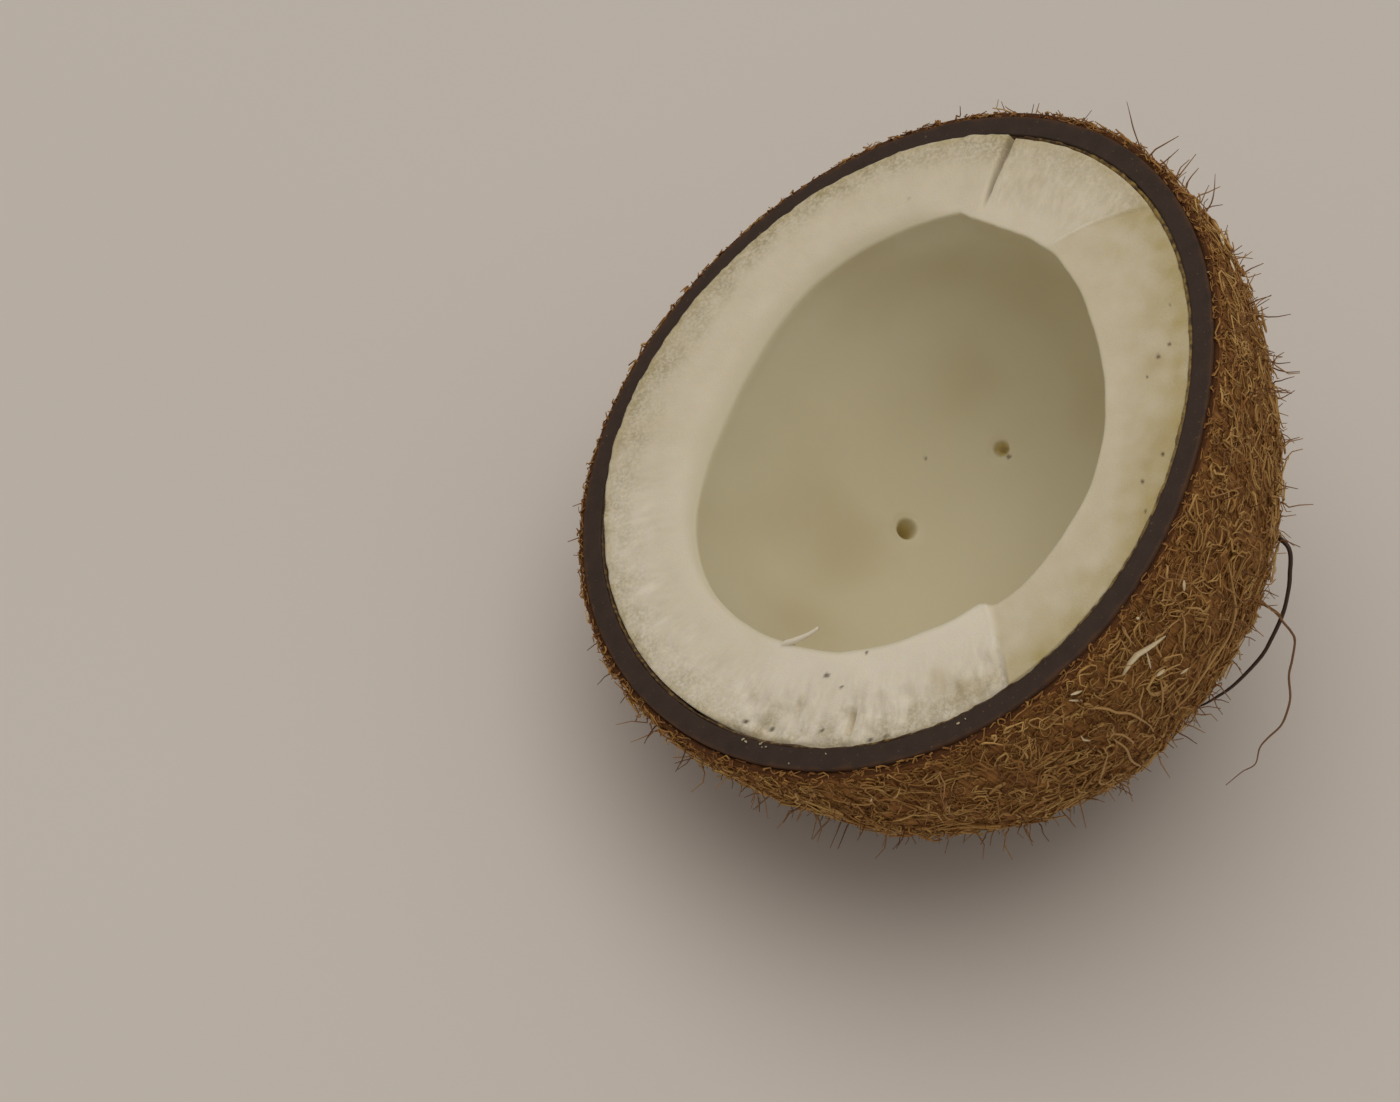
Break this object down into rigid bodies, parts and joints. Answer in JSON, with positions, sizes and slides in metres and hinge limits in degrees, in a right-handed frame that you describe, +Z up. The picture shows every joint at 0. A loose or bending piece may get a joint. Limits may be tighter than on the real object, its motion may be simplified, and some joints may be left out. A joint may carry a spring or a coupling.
{
  "type": "coconut half",
  "caption": "Half of a husked brown coconut lying on its round side: fibrous coir coat, hard dark shell with a sawn rim, and thick white flesh round a smooth hollow.",
  "frame": {"origin": "centre of the flat spot of the coir coat on which the half rests, straight below its centre of mass", "axes": "+Z up from the surface it rests on, +X to the right and +Y away from the viewer of the picture; the cut face looks up and to -X"},
  "size_m": [0.1104, 0.1193, 0.0827],
  "materials": {
    "flesh": "satin",
    "shell": "matte",
    "coir": "matte"
  },
  "bodies": {
    "root": {"flesh": "flesh", "shell": "shell", "husk": "coir"}
  },
  "joints": []
}
